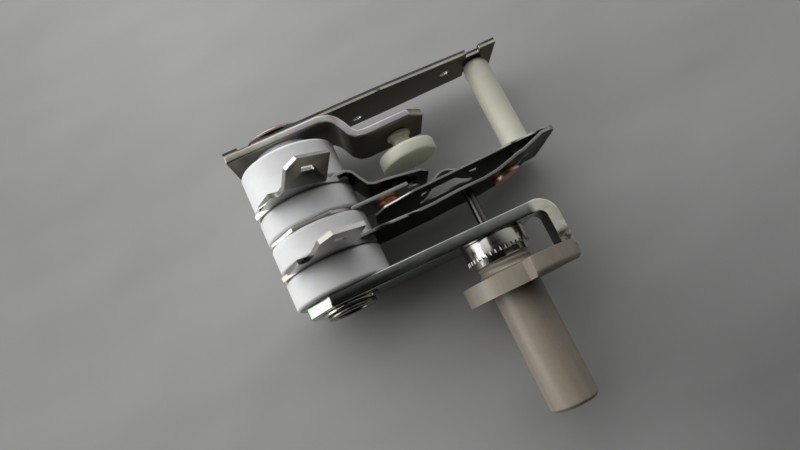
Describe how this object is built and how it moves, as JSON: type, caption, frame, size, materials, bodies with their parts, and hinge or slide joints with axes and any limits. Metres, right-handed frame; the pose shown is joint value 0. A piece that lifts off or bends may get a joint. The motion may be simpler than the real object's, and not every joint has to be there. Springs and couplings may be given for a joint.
{
  "type": "adjustable bimetal thermostat",
  "caption": "Adjustable bimetal thermostat for a flat iron: riveted ceramic stack with a bimetal strip, spring contact arms, solder terminals, a bracket and a turning control spindle.",
  "frame": {"origin": "centre of the mounting bore, on the face that the hollow rivet rests with", "axes": "+Z along the mounting bore from the mounting face to the spindle's free end; the strips and arms reach towards -X; the terminal tabs are on the -Y side"},
  "size_m": [0.0366, 0.0171, 0.0441],
  "materials": {
    "white_ceramic": "unglazed steatite, fine matt grain",
    "cream_ceramic": "unglazed steatite, cream, slightly waxy",
    "bimetal": "dark rolled bimetal, faint heat tint",
    "zinc_steel": "zinc plated sheet, satin, greenish grey",
    "spring_steel": "bright rolled spring steel, near mirror",
    "tinned_steel": "tinned sheet, satin",
    "plated_steel": "nickel plated, turned",
    "copper": "bare copper, satin",
    "contact_alloy": "pale contact alloy, satin",
    "spindle_plastic": "moulded heat-resistant plastic, grey beige, matt"
  },
  "bodies": {
    "root": {"hollow_rivet": "plated_steel", "limit_lever": "zinc_steel", "ceramic_button": "cream_ceramic", "insulator_1": "white_ceramic", "contact_blade": "spring_steel", "blade_contact": "contact_alloy", "upper_terminal": "tinned_steel", "insulator_2": "white_ceramic", "fixed_arm": "tinned_steel", "fixed_contact": "copper", "insulator_3": "white_ceramic", "lower_terminal": "tinned_steel", "insulator_4": "white_ceramic", "bracket": "zinc_steel", "rivet_washer": "plated_steel", "bush": "plated_steel"},
    "strip": {"bimetal_strip": "bimetal"},
    "rod": {"push_rod": "cream_ceramic"},
    "arm": {"carrier_arm": "spring_steel", "arm_rivet": "copper"},
    "snap": {"snap_blade": "spring_steel", "moving_contact": "contact_alloy"},
    "pin": {"adjusting_pin": "plated_steel"},
    "spindle": {"spindle": "spindle_plastic"}
  },
  "joints": [
    {"name": "pin_feed", "type": "slide", "parent": "root", "child": "pin", "axis": [0, 0, 1], "range_m": [0, 0.0005625]},
    {"name": "spindle_turn", "type": "hinge", "parent": "pin", "child": "spindle", "pos_m": [-0.0186, 0, 0.03], "axis": [0, 0, 1], "range_deg": [0, 270]},
    {"name": "arm_feed", "type": "hinge", "parent": "root", "child": "arm", "pos_m": [-0.00605, 0, 0.017], "axis": [0, 1, 0], "range_deg": [0, 2.57], "deforming": ["carrier_arm"]},
    {"name": "snap_open", "type": "hinge", "parent": "arm", "child": "snap", "pos_m": [-0.0292, 0, 0.01455], "axis": [0, 1, 0], "range_deg": [-3.42, 0], "deforming": ["snap_blade"]},
    {"name": "bimetal_flex", "type": "hinge", "parent": "root", "child": "strip", "pos_m": [-0.00605, 0, 0.00085], "axis": [0, 1, 0], "range_deg": [0, 2], "stiffness_Nm_per_rad": 0.02, "deforming": ["bimetal_strip"]},
    {"name": "rod_lift", "type": "slide", "parent": "root", "child": "rod", "axis": [0, 0, 1], "range_m": [0, 0.00074]}
  ],
  "couplings": [
    {"joint": "pin_feed", "follows": "spindle_turn", "m_per_rad": 0.00011937},
    {"joint": "arm_feed", "follows": "spindle_turn", "ratio": 0.009504},
    {"joint": "snap_open", "follows": "bimetal_flex", "ratio": -1.7},
    {"joint": "rod_lift", "follows": "bimetal_flex", "m_per_rad": 0.02094}
  ]
}
